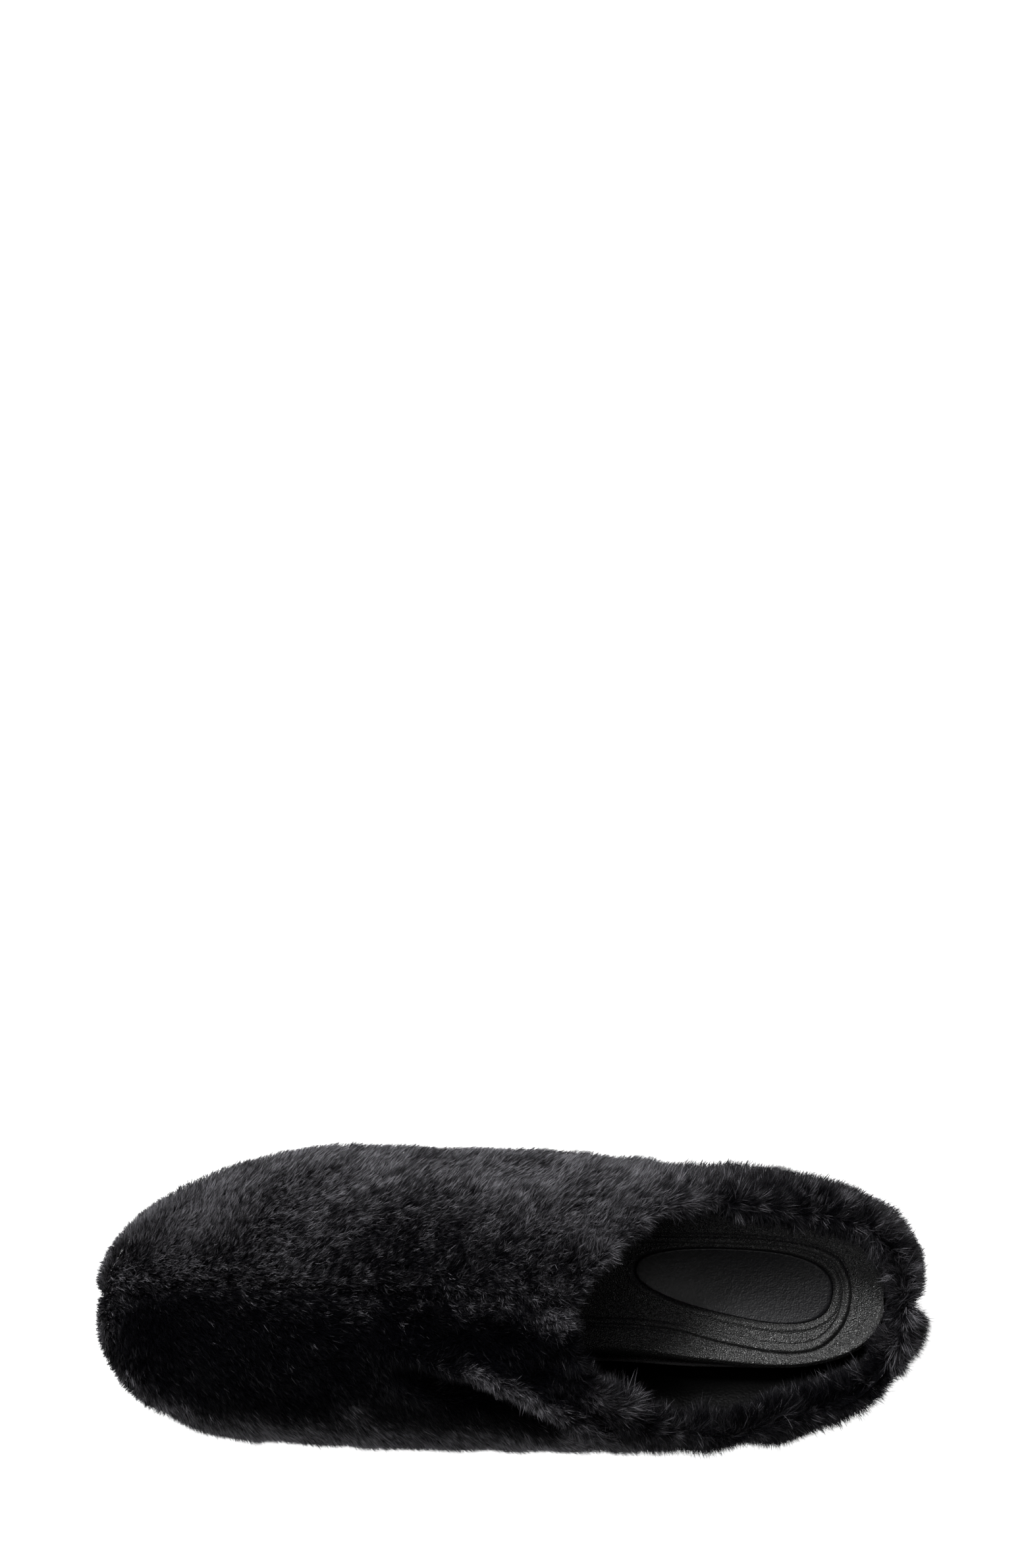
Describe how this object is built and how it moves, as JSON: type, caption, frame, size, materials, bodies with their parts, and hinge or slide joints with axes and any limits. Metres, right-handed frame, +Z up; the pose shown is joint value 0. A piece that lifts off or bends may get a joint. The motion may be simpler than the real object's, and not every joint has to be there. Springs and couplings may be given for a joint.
{
  "type": "fur clog",
  "caption": "Closed-toe clog with a deep-pile fur upper, low open heel collar, moulded footbed with an egg-shaped heel pad, and a plain rubber sole.",
  "frame": {"origin": "middle of the shoe's bounding box at floor level", "axes": "+X towards the toe, +Y towards the medial (inner) side of the foot, +Z up"},
  "size_m": [0.2672, 0.0976, 0.0835],
  "materials": {
    "outsole": "matte black moulded rubber foam",
    "footbed": "black pebble-grained cover with a low gloss",
    "heel_pad": "black, finer grained and smoother",
    "upper": "deep black fur pile with a leather-look lining"
  },
  "bodies": {
    "root": {"outsole": "outsole", "footbed": "footbed", "heel_pad": "heel_pad", "upper": "upper"}
  },
  "joints": []
}
